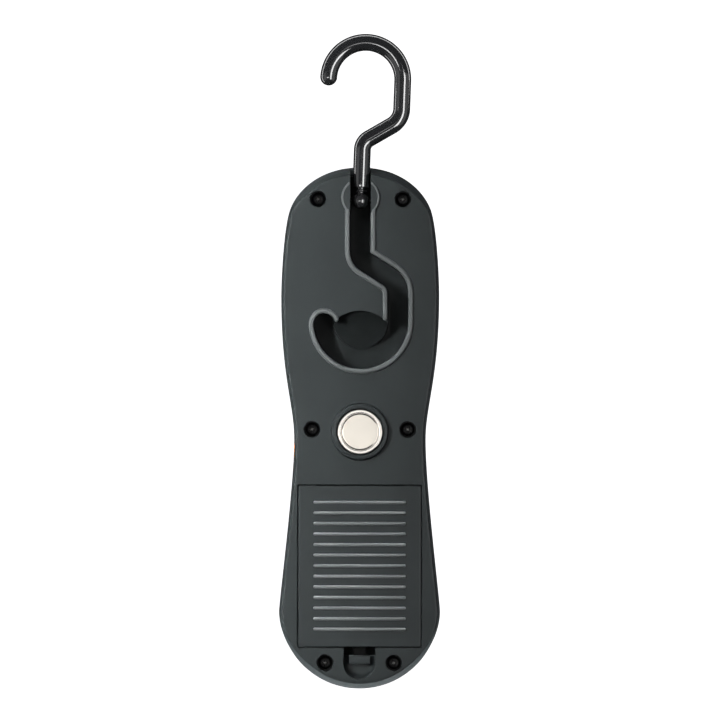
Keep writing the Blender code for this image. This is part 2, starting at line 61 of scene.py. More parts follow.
body_low, body_high = box_mm("front_housing")
door_high = box_mm("battery_door")[1]
latch_low, latch_high = box_mm("door_latch")
cup_low, cup_high = box_mm("magnet_cup")
disc_low, disc_high = box_mm("magnet_disc")
lens_low, lens_high = box_mm("lens")
bezel_low, bezel_high = box_mm("front_bezel")
button_low, button_high = box_mm("power_button")
joints = {joint["name"]: joint for joint in frame["record"]["behaviour"]["joints"]}
pivot = Vector(joints["hook_fold"]["pos_m"]) / MM
screw_boxes = [box_mm(f"housing_screw_{number}") for number in range(1, 7)]
SCREW_CENTRES = [((low.x + high.x) / 2, (low.z + high.z) / 2) for low, high in screw_boxes]

# Body.
HALF_WIDTH = body_high.x
BOTTOM = body_low.z
TOP = body_high.z
FRONT_Y = body_low.y
REAR_FACE = -2.6
INNER_FACE = REAR_FACE - 1.0
PARTING = body_high.y

# The body's outline: (x / half width, height / length, tangent angle, handle in and out in millimetres).
OUTLINE_KNOTS = (
    (0.0, 0.0, 0.0, 0.0, 15.0),
    (0.789, 0.06, 54.0, 3.6, 4.6),
    (1.0, 0.1481, 90.0, 7.9, 4.5),
    (0.8166, 0.4781, 90.0, 19.0, 14.0),
    (0.9815, 0.7529, 90.0, 33.0, 6.5),
    (0.869, 0.921, 112.0, 7.2, 8.5),
    (0.0, 1.0, 180.0, 15.8, 0.0),
)
OUTLINE_STEPS = 22

# Hook.
HOOK_RADIUS = 3.42
HOOK_SIDES = 56
BALL_RADIUS = 3.4
HOOK_FOOT = 5.2
HOOK_LEAN = 2.0
HOOK_CORNERS = ((0.0, 23.4, 5.3), (15.2, 32.9, 8.0))
BIGHT_U = 0.3
BIGHT_V = 48.69
BIGHT_RADIUS = 14.9
BIGHT_END = 178.4

# Recess for the folded hook, its bead, the ears and the finger pocket.
SLOT_HALF = 4.15
SLOT_FLOOR = -10.8
TUB_WALL = 1.1
TUB_FLOOR = -12.1
BEAD_HALF = 1.0
BEAD_HEIGHT = 0.85
BEAD_FOOT = 3.9
EAR_RADIUS = 7.7
EAR_Z = pivot.z + 1.1
POCKET_RADIUS = 15.0
POCKET_Z = 33.5
POCKET_SHALLOW = 1.4
POCKET_DEEP = 8.0

# Screws.
WELL_RADIUS = 3.3
WELL_WALL = 0.9
WELL_FLOOR = -7.6
WELL_WALL_END = -9.9
WELL_BOTTOM = -11.0
SHAFT_RADIUS = 1.2
HEAD_HEIGHT = 1.9

# Magnet's socket and boss.
SOCKET_RADIUS = 9.3
SOCKET_FLOOR = -5.4
BOSS_RADIUS = 11.7
BOSS_FACE = -0.75

# Battery bay and door.
BAY_HALF = 22.6
BAY_TOP = -24.2
BAY_BOTTOM = -83.4
BAY_FLOOR = -20.6
BAY_WALL = 1.4
RIM_HALF = 26.0
RIM_TOP = -20.2
RIM_BOTTOM = -87.8
RIM_FLOOR = -6.6
SEAT_FLOOR = -4.95
DOOR_GAP = 0.38
DOOR_TOP = -21.7
DOOR_BOTTOM = -86.4
DOOR_HALF = door_high.x
RIB_COUNT = 13
RIB_FIRST = -28.35
RIB_PITCH = 4.247
RIB_REACH = 17.95
RIB_HALF = 0.62
RIB_HEIGHT = 0.8
HINGE_TAB_X = 14.5
HINGE_POCKET_HALF = 17.6
HINGE_POCKET_TOP = -18.9
HINGE_POCKET_FLOOR = -9.6

# Scoop round the latch.
LATCH_HALF = 6.35
LATCH_TOP = -90.0
LATCH_BOTTOM = -99.4
LATCH_MIDDLE = LATCH_BOTTOM + LATCH_HALF
LATCH_FLOOR = -6.3
LATCH_FILLET = 2.9
PAD_BOTTOM = -93.3
PAD_TOP = -89.8

# Lens.
LENS_HALF = lens_high.x
LENS_TOP = lens_high.z - LENS_HALF
LENS_BOTTOM = lens_low.z + LENS_HALF

collection = bpy.context.scene.collection

# ---------------------------------------------------------------- materials


def new_material(name, colour, roughness, metallic=0.0):
    material = bpy.data.materials.new(name)
    material.use_nodes = True
    shader = material.node_tree.nodes["Principled BSDF"]
    shader.inputs["Base Color"].default_value = (*colour, 1.0)
    shader.inputs["Roughness"].default_value = roughness
    shader.inputs["Metallic"].default_value = metallic
    return material, shader


def link(material, start, start_socket, end, end_socket):
    material.node_tree.links.new(start.outputs[start_socket], end.inputs[end_socket])


def noise(material, scale, detail=2.0, rough=0.5):
    nodes = material.node_tree.nodes
    place = nodes.new("ShaderNodeTexCoord")
    texture = nodes.new("ShaderNodeTexNoise")
    texture.inputs["Scale"].default_value = scale
    texture.inputs["Detail"].default_value = detail
    texture.inputs["Roughness"].default_value = rough
    link(material, place, "Object", texture, "Vector")
    return texture


def ramp(material, low, high, start=0.35, end=0.65):
    """A colour ramp between two colours."""
    made = material.node_tree.nodes.new("ShaderNodeValToRGB")
    made.color_ramp.elements[0].position = start
    made.color_ramp.elements[0].color = (*low, 1.0)
    made.color_ramp.elements[1].position = end
    made.color_ramp.elements[1].color = (*high, 1.0)
    return made


def vary(material, shader, low, high, scale, detail=3.0):
    """Slow colour change between two colours."""
    texture = noise(material, scale, detail)
    colours = ramp(material, low, high)
    link(material, texture, "Fac", colours, "Fac")
    link(material, colours, "Color", shader, "Base Color")


def scuff(material, shader, low, high, scale, detail=4.0):
    """Roughness that changes slowly between two values."""
    texture = noise(material, scale, detail, 0.6)
    spread = material.node_tree.nodes.new("ShaderNodeMapRange")
    spread.inputs["From Min"].default_value = 0.3
    spread.inputs["From Max"].default_value = 0.7
    spread.inputs["To Min"].default_value = low
    spread.inputs["To Max"].default_value = high
    link(material, texture, "Fac", spread, "Value")
    link(material, spread, "Result", shader, "Roughness")


def grain(material, shader, scale, strength, distance=0.00005, detail=3.0):
    """Fine surface texture as a bump."""
    texture = noise(material, scale, detail)
    bump = material.node_tree.nodes.new("ShaderNodeBump")
    bump.inputs["Strength"].default_value = strength
    bump.inputs["Distance"].default_value = distance
    link(material, texture, "Fac", bump, "Height")
    link(material, bump, "Normal", shader, "Normal")


def plastic(name, colour, rough, grain_scale=2600, grain_strength=0.35, spread=0.12, wide=0.06):
    material, shader = new_material(name, colour, rough)
    low = tuple(channel * (1 - spread) for channel in colour)
    high = tuple(channel * (1 + spread) for channel in colour)
    vary(material, shader, low, high, 60)
    scuff(material, shader, max(rough - wide, 0.02), rough + wide, 110)
    if grain_strength:
        grain(material, shader, grain_scale, grain_strength)
    return material


def metal(name, colour, low, high, grain_scale=900, grain_strength=0.05):
    material, shader = new_material(name, colour, low, 1.0)
    vary(material, shader, tuple(channel * 0.94 for channel in colour), colour, 140)
    scuff(material, shader, low, high, 300)
    grain(material, shader, grain_scale, grain_strength)
    return material


SLATE = plastic("slate_plastic", (0.0255, 0.0301, 0.0309), 0.42, 2600, 0.3, 0.06)
SLATE_DOOR = plastic("slate_door", (0.0255, 0.0297, 0.0305), 0.42, 2600, 0.3, 0.06)
# Painted highlight: the bead round the recess and the ear rims are a lighter slate than the face, standing
# in for the light they catch.
BEAD_PAINTED_HIGHLIGHT = plastic("slate_bead_painted_highlight", (0.096, 0.105, 0.106), 0.34, 2600, 0.2, 0.06)
# Painted highlight: the door's ribs are a much lighter slate than the door, standing in for the light on
# their upper sides.
RIB_PAINTED_HIGHLIGHT = plastic("slate_rib_painted_highlight", (0.165, 0.178, 0.18), 0.34, 2600, 0.2, 0.06)
BLACK = plastic("black_gloss", (0.0045, 0.0045, 0.005), 0.12, 300, 0.0, 0.2, 0.03)
BALL = plastic("black_knuckle", (0.009, 0.009, 0.0095), 0.2, 300, 0.0, 0.2, 0.03)
# Painted shade: a darker slate on the faces of the hook's recess, the finger pocket, the hinge pocket, the
# door's tabs and the parting lip, standing in for the shade that falls there.
SLATE_PAINTED_SHADE = plastic("slate_recess_painted_shade", (0.0145, 0.0168, 0.0171), 0.5, 900, 0.25, 0.2, 0.08)
# Black oxide on the hook's pin; the same near-black on the latch's tongue is painted shade in the gap
# behind the pad.
BLACK_OXIDE_AND_PAINTED_SHADE = plastic("black_oxide_and_painted_shade", (0.004, 0.004, 0.004), 0.7, 900, 0.1, 0.2, 0.05)
ORANGE = plastic("orange_plastic", (0.83, 0.19, 0.015), 0.42, 2200, 0.25, 0.06)
WHITE = plastic("white_plastic", (0.8, 0.8, 0.78), 0.3, 1500, 0.1, 0.03)
PHOSPHOR = plastic("led_phosphor", (0.85, 0.6, 0.08), 0.55, 4000, 0.5, 0.06)
BOARD = plastic("circuit_board", (0.02, 0.12, 0.05), 0.4, 1800, 0.3, 0.25)
CELL = plastic("cell_jacket", (0.05, 0.12, 0.3), 0.3, 800, 0.05, 0.1)
RED_WIRE = plastic("red_wire", (0.55, 0.02, 0.015), 0.4, 900, 0.1)
DARK_WIRE = plastic("dark_wire", (0.012, 0.012, 0.012), 0.4, 900, 0.1)
NICKEL = metal("bright_nickel", (0.97, 0.92, 0.85), 0.1, 0.16, 500, 0.004)
NICKEL_FACE = metal("satin_nickel", (0.88, 0.82, 0.73), 0.1, 0.15, 500, 0.006)
WORN = metal("worn_steel", (0.3, 0.3, 0.29), 0.35, 0.5, 1500, 0.08)
ALUMINIUM = metal("rolled_aluminium", (0.78, 0.79, 0.8), 0.3, 0.42)
SPRING = metal("spring_steel", (0.7, 0.7, 0.68), 0.22, 0.34)
BLACK_STEEL = metal("black_steel", (0.03, 0.03, 0.03), 0.35, 0.5, 1800, 0.2)

for material, socket, value in (
    (SLATE, "Specular IOR Level", 0.34),
    (SLATE_DOOR, "Specular IOR Level", 0.34),
    (SLATE_PAINTED_SHADE, "Specular IOR Level", 0.12),
    (BLACK_OXIDE_AND_PAINTED_SHADE, "Specular IOR Level", 0.15),
    (BLACK, "Specular IOR Level", 1.0),
    (BLACK, "IOR", 2.2),
    (BALL, "Specular IOR Level", 1.0),
    (BALL, "IOR", 2.0),
):
    material.node_tree.nodes["Principled BSDF"].inputs[socket].default_value = value

CLEAR, clear_shader = new_material("clear_lens", (0.95, 0.97, 0.98), 0.05)
clear_shader.inputs["Transmission Weight"].default_value = 1.0
clear_shader.inputs["IOR"].default_value = 1.49
scuff(CLEAR, clear_shader, 0.02, 0.09, 90)
grain(CLEAR, clear_shader, 400, 0.02)

NODE_MATERIALS = {
    "rear_cover": SLATE,
    "front_housing": SLATE,
    "battery_door": SLATE_DOOR,
    "door_latch": SLATE_DOOR,
    "hook": BLACK,
    "hook_pin": BLACK_OXIDE_AND_PAINTED_SHADE,
    "magnet_cup": NICKEL,
    "magnet_disc": NICKEL_FACE,
    "lens": CLEAR,
    "front_bezel": ORANGE,
    "reflector": WHITE,
    "led_board": ALUMINIUM,
    "cob_led": PHOSPHOR,
    "driver_board": BOARD,
    "switch_body": BLACK,
    "switch_plunger": WHITE,
    "power_button": ORANGE,
    "battery_lead_positive": RED_WIRE,
    "battery_lead_negative": DARK_WIRE,
    "led_lead_positive": RED_WIRE,
    "led_lead_negative": DARK_WIRE,
    "contact_positive": SPRING,
    "contact_link_high": SPRING,
    "contact_link_low": SPRING,
    "contact_negative": SPRING,
}
for number in range(1, 7):
    NODE_MATERIALS[f"housing_screw_{number}"] = BLACK_STEEL
for number in range(1, 4):
    NODE_MATERIALS[f"battery_cell_{number}"] = CELL
    NODE_MATERIALS[f"battery_spring_{number}"] = SPRING

for node_name, node in frame["nodes"].items():
    node.data.materials.clear()
    node.data.materials.append(NODE_MATERIALS[node_name])

# ---------------------------------------------------------------- mesh tools, in millimetres


def put(name, bm, material, sharp=35):
    """Makes an object of the bmesh, with its faces outward and its round places shaded smooth."""
    bmesh.ops.scale(bm, vec=(MM, MM, MM), verts=bm.verts)
    bmesh.ops.recalc_face_normals(bm, faces=bm.faces)
    mesh = bpy.data.meshes.new(name)
    bm.to_mesh(mesh)
    bm.free()
    mesh.shade_smooth()
    mesh.set_sharp_from_angle(angle=math.radians(sharp))
    if material:
        mesh.materials.append(material)
    made = bpy.data.objects.new(name, mesh)
    collection.objects.link(made)
    return made


def skin(bm, rings):
    """Faces from each ring to the next. A ring of one vertex is a point that its neighbour closes onto."""
    count = max(len(ring) for ring in rings)
    for low, high in zip(rings, rings[1:]):
        for i in range(count):
            j = (i + 1) % count
            corners = [low[i % len(low)], low[j % len(low)], high[j % len(high)], high[i % len(high)]]
            bm.faces.new(list(dict.fromkeys(corners)))


def loft(name, rings, material=None, sharp=35):
    """Rings joined in turn, with the first and the last closed."""
    bm = bmesh.new()
    loops = [[bm.verts.new(point) for point in ring] for ring in rings]
    skin(bm, loops)
    bm.faces.new(loops[0])
    bm.faces.new(loops[-1])
    return put(name, bm, material, sharp)


def hoop(name, rings, material, sharp=35):
    """Rings joined in turn, and the last joined back to the first."""
    bm = bmesh.new()
    loops = [[bm.verts.new(point) for point in ring] for ring in rings]
    skin(bm, loops + loops[:1])
    return put(name, bm, material, sharp)


def turned(name, profile, centre, material=None, steps=64, sharp=35):
    """A profile of (radius, y) points turned about the line along Y through centre (x, z)."""
    bm = bmesh.new()
    rings = []
    for radius, y in profile:
        ring = []
        for i in range(steps if radius > 0.0 else 1):
            angle = 2 * math.pi * i / steps
            x = centre[0] + radius * math.cos(angle)
            z = centre[1] + radius * math.sin(angle)
            ring.append(bm.verts.new((x, y, z)))
        rings.append(ring)
    skin(bm, rings)
    return put(name, bm, material, sharp)


def apply_modifiers(target):
    graph = bpy.context.evaluated_depsgraph_get()
    mesh = bpy.data.meshes.new_from_object(target.evaluated_get(graph))
    target.modifiers.clear()
    target.data = mesh


def combine(target, tools, operation):
    for tool in tools:
        modifier = target.modifiers.new(tool.name, "BOOLEAN")
        modifier.operation = operation
        modifier.solver = "MANIFOLD"
        modifier.material_mode = "TRANSFER"
        modifier.object = tool
    bpy.context.view_layer.update()
    apply_modifiers(target)
    for tool in tools:
        bpy.data.objects.remove(tool, do_unlink=True)


def smooth(target, sharp):
    target.data.shade_smooth()
    target.data.set_sharp_from_angle(angle=math.radians(sharp))


def arc(centre, radius, first, last, steps):
    return [
        Vector(centre) + radius * Vector((math.cos(math.radians(a)), math.sin(math.radians(a))))
        for a in (first + (last - first) * i / steps for i in range(steps + 1))
    ]


def capsule(half, low, high, steps=24):
    """A slot shape of (x, z) points, round at both ends."""
    return [tuple(p) for p in arc((0, high), half, 0, 180, steps) + arc((0, low), half, 180, 360, steps)]


def rounded_box_outline(low, high, radius, steps=6):
    """A rectangle with round corners, as (x, z) points."""
    corners = (
        (high[0] - radius, high[1] - radius, 0),
        (low[0] + radius, high[1] - radius, 90),
        (low[0] + radius, low[1] + radius, 180),
        (high[0] - radius, low[1] + radius, 270),
    )
    found = []
    for x, z, angle in corners:
        found += [tuple(point) for point in arc((x, z), radius, angle, angle + 90, steps)]
    return found


def rectangle(half, low, high, middle=0.0):
    """A rectangle of (x, z) points, half as wide on each side of x = middle."""
    return [(middle - half, low), (middle + half, low), (middle + half, high), (middle - half, high)]


def at_depth(outline, y):
    return [(x, y, z) for x, z in outline]


def prism(name, outline, depths, material=None):
    """One outline carried straight from one depth to another."""
    return loft(name, [at_depth(outline, y) for y in depths], material)


def bezier(start, start_handle, end_handle, end, steps):
    found = []
    for i in range(steps):
        t = i / steps
        s = 1 - t
        found.append(s**3 * start + 3 * s * s * t * start_handle + 3 * s * t * t * end_handle + t**3 * end)
    return found


def outline_with_normals():
    """The body's outline as (point, inward normal) pairs of (x, z) vectors."""
    half = []
    for first, second in zip(OUTLINE_KNOTS, OUTLINE_KNOTS[1:]):
        start = Vector((first[0] * HALF_WIDTH, BOTTOM + first[1] * (TOP - BOTTOM)))
        end = Vector((second[0] * HALF_WIDTH, BOTTOM + second[1] * (TOP - BOTTOM)))
        out = Vector((math.cos(math.radians(first[2])), math.sin(math.radians(first[2])))) * first[4]
        back = Vector((math.cos(math.radians(second[2])), math.sin(math.radians(second[2])))) * second[3]
        half += bezier(start, start + out, end - back, end, OUTLINE_STEPS)
    half.append(Vector((0.0, TOP)))
    whole = half + [Vector((-point.x, point.y)) for point in half[-2:0:-1]]
    pairs = []
    for i, point in enumerate(whole):
        along = (whole[(i + 1) % len(whole)] - whole[i - 1]).normalized()
        pairs.append((point, Vector((-along.y, along.x))))
    return pairs


OUTLINE = outline_with_normals()


def smoothstep(value):
    value = min(max(value, 0.0), 1.0)
    return value * value * (3 - 2 * value)


def shoulder(z):
    """How far the rear face's edge lies inside the outline: widest over the top, less round the bottom."""
    return 0.9 + 1.9 * smoothstep((z - 86) / 16) + 1.3 * smoothstep((-80 - z) / 18)


def body_ring(inset, y, share=0.0):
    """The outline moved in by inset plus a share of the shoulder."""
    ring = []
    for point, inward in OUTLINE:
        moved = point + inward * (inset + share * shoulder(point.y))
        ring.append((moved.x, y, moved.y))
    return ring


# ---------------------------------------------------------------- the hook's path and its recess


def fillet(before, corner, after, radius, steps):
    into = (before - corner).normalized()
    out = (after - corner).normalized()
    half_angle = into.angle(out) / 2
    centre = corner + (into + out).normalized() * radius / math.sin(half_angle)
    reach = radius / math.tan(half_angle)
    first = (corner + into * reach - centre).normalized()
    last = (corner + out * reach - centre).normalized()
    return [centre + first.slerp(last, i / steps) * radius for i in range(steps + 1)]


def hook_path(foot, steps=12, straight=3.0):
    """The hook's centreline as (u, v) points, u to the right seen from behind, v up from the pivot."""
    (u1, v1, r1), (u2, v2, r2) = HOOK_CORNERS
    first = Vector((u1, v1))
    second = Vector((u2, v2))
    third = Vector((u2, BIGHT_V))
    corners = fillet(Vector((0.0, foot)), first, second, r1, steps)
    count = max(int((corners[0].y - foot) / straight), 1)
    points = [Vector((0.0, foot + (corners[0].y - foot) * i / count)) for i in range(count)]
    points += corners
    points += fillet(first, second, third, r2, steps)
    points += arc((BIGHT_U, BIGHT_V), BIGHT_RADIUS, 0, BIGHT_END, steps * 4)
    return points


def recess_sides(foot, half):
    """The two sides of a band along the folded hook and the round end between them, as (x, z) vectors."""
    path = hook_path(foot)
    left = []
    right = []
    last = len(path) - 1
    for i, point in enumerate(path):
        along = (path[min(i + 1, last)] - path[max(i - 1, 0)]).normalized()
        across = Vector((-along.y, along.x))
        left.append(point + across * half)
        right.append(point - across * half)
    heading = math.degrees(math.atan2(along.y, along.x))
    end = arc(path[-1], half, heading - 90, heading + 90, 16)[1:-1]
    return [[Vector((-p.x, pivot.z - p.y)) for p in side] for side in (right, end, left[::-1])]


def recess_outline(foot, half):
    right, end, left = recess_sides(foot, half)
    return [tuple(point) for point in right + end + left]


# ---------------------------------------------------------------- rear cover


def bar(name, points, half, height, base, material, end_steps=6, profile_steps=10):
    """A rounded raised line on a face that looks along +Y, through (x, z) points, with round ends."""
    bm = bmesh.new()
    start_run = (points[0] - points[1]).normalized()
    end_run = (points[-1] - points[-2]).normalized()
    stations = []
    for i in range(end_steps, 0, -1):
        angle = math.pi / 2 * i / (end_steps + 0.5)
        stations.append((points[0] + start_run * half * math.sin(angle), math.cos(angle)))
    stations += [(point, 1.0) for point in points]
    for i in range(1, end_steps + 1):
        angle = math.pi / 2 * i / (end_steps + 0.5)
        stations.append((points[-1] + end_run * half * math.sin(angle), math.cos(angle)))
    rings = []
    for i, (point, size) in enumerate(stations):
        before = stations[max(i - 1, 0)][0]
        after = stations[min(i + 1, len(stations) - 1)][0]
        along = (after - before).normalized()
        across = Vector((-along.y, along.x))
        ring = []
        for k in range(profile_steps + 1):
            angle = math.pi * k / profile_steps
            side = point + across * half * size * math.cos(angle)
            ring.append(bm.verts.new((side.x, base + height * size * math.sin(angle) ** 0.8, side.y)))
        sunk = [point - across * half * size, point + across * half * size]
        ring += [bm.verts.new((side.x, base - 0.4, side.y)) for side in sunk]
        rings.append(ring)
    skin(bm, rings)
    bm.faces.new(rings[0])
    bm.faces.new(rings[-1])
    return put(name, bm, material, 50)


def evenly(points, step):
    """The same line with a point every step."""
    found = [points[0]]
    for start, end in zip(points, points[1:]):
        count = max(round((end - start).length / step), 1)
        found += [start.lerp(end, i / count) for i in range(1, count + 1)]
    return found


def eased(points, reach):
    """The same line with each point moved to the mean of its neighbours, so that tight corners open up."""
    found = []
    for i in range(len(points)):
        span = min(reach, i, len(points) - 1 - i)
        near = points[i - span : i + span + 1]
        found.append(sum(near, Vector((0.0, 0.0))) / len(near))
    return found


def slot_cutter():
    """The hook's recess, which runs out through the top of the body."""
    foot = -22.0
    rings = [at_depth(recess_outline(foot, SLOT_HALF), y) for y in (2.0, SLOT_FLOOR + 0.8)]
    rings.append(at_depth(recess_outline(foot, SLOT_HALF - 0.25), SLOT_FLOOR + 0.25))
    rings.append(at_depth(recess_outline(foot, SLOT_HALF - 0.8), SLOT_FLOOR))
    # The recess's cut faces take the darker slate, a painted shade for the channel.
    return loft("slot_cutter", rings, SLATE_PAINTED_SHADE)


def pocket_cutter():
    """The finger pocket in the hook's bight: a half disc whose floor slopes down to the recess."""
    outline = [tuple(point) for point in arc((0, POCKET_Z), POCKET_RADIUS, 0, 180, 60)]
    outline += [(-POCKET_RADIUS, POCKET_Z - 0.5), (POCKET_RADIUS, POCKET_Z - 0.5)]
    small = [tuple(point) for point in arc((0, POCKET_Z), POCKET_RADIUS - 0.5, 0, 180, 60)]
    small += [(0.5 - POCKET_RADIUS, POCKET_Z - 0.5), (POCKET_RADIUS - 0.5, POCKET_Z - 0.5)]
    top = POCKET_Z + POCKET_RADIUS

    def floor_y(z):
        depth = POCKET_SHALLOW + (top - z) / POCKET_RADIUS * (POCKET_DEEP - POCKET_SHALLOW)
        return REAR_FACE - depth

    rings = [
        [(x * 1.012, 1.0, z + 0.1) for x, z in outline],
        [(x * 1.012, REAR_FACE + 0.02, z + 0.1) for x, z in outline],
        [(x, REAR_FACE - 0.2, z) for x, z in outline],
        [(x, floor_y(z) + 0.5, z) for x, z in outline],
        [(x, floor_y(z) + 0.1, z) for x, z in small],
    ]
    # The pocket's cut faces take the darker slate, a painted shade for the pocket.
    return loft("pocket_cutter", rings, SLATE_PAINTED_SHADE)


def well_cutter(number, centre):
    profile = (
        (0.0, 1.0),
        (WELL_RADIUS + 0.1, 1.0),
        (WELL_RADIUS + 0.1, REAR_FACE + 0.02),
        (WELL_RADIUS, REAR_FACE - 0.12),
        (WELL_RADIUS, WELL_FLOOR),
        (SHAFT_RADIUS + 0.3, WELL_FLOOR),
        (SHAFT_RADIUS + 0.3, WELL_BOTTOM),
        (0.0, WELL_BOTTOM),
    )
    return turned(f"well_cutter_{number}", profile, centre, steps=48)


def latch_cutter():
    """The thumb scoop round the latch, with a wide fillet between its wall and its floor."""
    rings = [
        at_depth(capsule(LATCH_HALF + 0.15, LATCH_MIDDLE, LATCH_TOP), 1.5),
        at_depth(capsule(LATCH_HALF + 0.15, LATCH_MIDDLE, LATCH_TOP), REAR_FACE + 0.02),
        at_depth(capsule(LATCH_HALF, LATCH_MIDDLE, LATCH_TOP), REAR_FACE - 0.2),
    ]
    for i in range(9):
        angle = math.pi / 2 * i / 8
        half = LATCH_HALF - LATCH_FILLET * (1 - math.cos(angle))
        y = LATCH_FLOOR + LATCH_FILLET * (1 - math.sin(angle))
        rings.append(at_depth(capsule(half, LATCH_MIDDLE, LATCH_TOP), y))
    return loft("latch_cutter", rings)


def seat_cutter():
    """The door's seat, with the edge of its mouth broken."""
    low = (-DOOR_HALF - DOOR_GAP, DOOR_BOTTOM - DOOR_GAP)
    high = (DOOR_HALF + DOOR_GAP, DOOR_TOP + DOOR_GAP)
    mouth = rounded_box_outline((low[0] - 0.2, low[1] - 0.2), (high[0] + 0.2, high[1] + 0.2), 1.2)
    seat = rounded_box_outline(low, high, 1.0)
    rings = [
        at_depth(mouth, 1.2),
        at_depth(mouth, REAR_FACE + 0.02),
        at_depth(seat, REAR_FACE - 0.22),
        at_depth(seat, SEAT_FLOOR),
    ]
    return loft("seat_cutter", rings)


def make_rear_cover():
    rings = [
        body_ring(1.7, REAR_FACE, 1.0),
        body_ring(1.2, REAR_FACE, 1.0),
        body_ring(0.55, REAR_FACE - 0.06, 1.0),
        body_ring(0.25, REAR_FACE - 0.22, 1.0),
        body_ring(0.08, REAR_FACE - 0.5, 1.0),
        body_ring(0.0, REAR_FACE - 0.9, 0.97),
        body_ring(0.0, PARTING + 0.42, 0.62),
        body_ring(0.12, PARTING + 0.3, 0.62),
        body_ring(2.0, PARTING + 0.3, 0.8),
        body_ring(3.4, REAR_FACE - 2.2, 1.0),
    ]
    cover = loft("rear_cover_fine", rings, SLATE, 40)

    ears = turned(
        "ears",
        (
            (0.0, REAR_FACE + 0.78),
            (EAR_RADIUS - 0.75, REAR_FACE + 0.76),
            (EAR_RADIUS - 0.35, REAR_FACE + 0.62),
            (EAR_RADIUS - 0.1, REAR_FACE + 0.3),
            (EAR_RADIUS + 0.1, REAR_FACE - 0.1),
            (EAR_RADIUS + 0.1, REAR_FACE - 1.2),
            (0.0, REAR_FACE - 1.2),
        ),
        (0, EAR_Z),
        steps=96,
    )
    boss = turned(
        "boss",
        (
            (0.0, BOSS_FACE),
            (BOSS_RADIUS - 1.8, BOSS_FACE),
            (BOSS_RADIUS - 1.0, BOSS_FACE - 0.05),
            (BOSS_RADIUS - 0.65, BOSS_FACE - 0.23),
            (BOSS_RADIUS - 0.45, BOSS_FACE - 0.65),
            (BOSS_RADIUS, REAR_FACE - 0.1),
            (BOSS_RADIUS, SOCKET_FLOOR - 1.5),
            (0.0, SOCKET_FLOOR - 1.5),
        ),
        (0, 0),
        steps=96,
    )
    parts = [ears, boss]
    wall = WELL_RADIUS + WELL_WALL
    for number, centre in enumerate(SCREW_CENTRES, 1):
        profile = ((0.0, INNER_FACE), (wall, INNER_FACE), (wall, WELL_WALL_END), (0.0, WELL_WALL_END))
        parts.append(turned(f"well_wall_{number}", profile, centre, steps=48))
    pocket = [tuple(p) for p in arc((0, POCKET_Z), POCKET_RADIUS + 1.2, 0, 180, 40)]
    bay_rim = rounded_box_outline((-RIM_HALF, RIM_BOTTOM), (RIM_HALF, RIM_TOP), 1.0)
    bay_low = (-BAY_HALF - BAY_WALL, BAY_BOTTOM - BAY_WALL)
    bay_high = (BAY_HALF + BAY_WALL, BAY_TOP + BAY_WALL)
    bay_wall = rounded_box_outline(bay_low, bay_high, 2.0)
    scoop_wall = capsule(LATCH_HALF + TUB_WALL, LATCH_MIDDLE, LATCH_TOP)
    hinge_wall = rectangle(HINGE_POCKET_HALF + 0.8, -23.6, HINGE_POCKET_TOP + 0.7)
    parts.append(prism("tub", recess_outline(-10.6, SLOT_HALF + TUB_WALL), (TUB_FLOOR, INNER_FACE)))
    parts.append(prism("pocket_wall", pocket, (TUB_FLOOR + 0.2, INNER_FACE)))
    parts.append(prism("bay_rim", bay_rim, (RIM_FLOOR, INNER_FACE)))
    parts.append(prism("bay_wall", bay_wall, (BAY_FLOOR - BAY_WALL, -4.2)))
    parts.append(prism("scoop_wall", scoop_wall, (LATCH_FLOOR - 1.0, INNER_FACE)))
    parts.append(prism("hinge_wall", hinge_wall, (HINGE_POCKET_FLOOR - 0.6, INNER_FACE)))
    combine(cover, parts, "UNION")

    cutters = [slot_cutter(), pocket_cutter()]
    mouth = SOCKET_RADIUS + 0.45
    cutters.append(
        turned(
            "socket_cutter",
            (
                (0.0, 1.0),
                (mouth, 1.0),
                (mouth, -0.7),
                (SOCKET_RADIUS + 0.15, -0.85),
                (SOCKET_RADIUS, -1.2),
                (SOCKET_RADIUS, SOCKET_FLOOR),
                (0.0, SOCKET_FLOOR),
            ),
            (0, 0),
            steps=96,
        )
    )
    for number, centre in enumerate(SCREW_CENTRES, 1):
        cutters.append(well_cutter(number, centre))
    cutters.append(seat_cutter())
    bay = rounded_box_outline((-BAY_HALF, BAY_BOTTOM), (BAY_HALF, BAY_TOP), 1.5)
    cutters.append(prism("bay_cutter", bay, (1.0, BAY_FLOOR)))
    hinge_pocket = rectangle(HINGE_POCKET_HALF, -27.0, HINGE_POCKET_TOP)
    # The hinge pocket's walls take the darker slate, a painted shade in the gap above the door.
    cutters.append(prism("hinge_cutter", hinge_pocket, (HINGE_POCKET_FLOOR, -4.7), SLATE_PAINTED_SHADE))
    cutters.append(latch_cutter())
    latch_gap = rectangle(LATCH_HALF, LATCH_TOP + 0.3, -84.85)
    cutters.append(prism("latch_gap", latch_gap, (1.0, -12.0)))
    combine(cover, cutters, "DIFFERENCE")
    smooth(cover, 30)
    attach(cover, "housing")
    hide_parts("rear_cover")


def make_parting_lip():
    """The tongue inside the joint between the two shells, which closes the joint to light."""
    corners = ((1.1, PARTING - 0.8), (1.1, PARTING + 1.1), (1.9, PARTING + 1.1), (1.9, PARTING - 0.8))
    # The lip is coloured in the darker slate, a painted shade inside the joint.
    lip = hoop("parting_lip", [body_ring(inset, y, 0.62) for inset, y in corners], SLATE_PAINTED_SHADE)
    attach(lip, "housing")


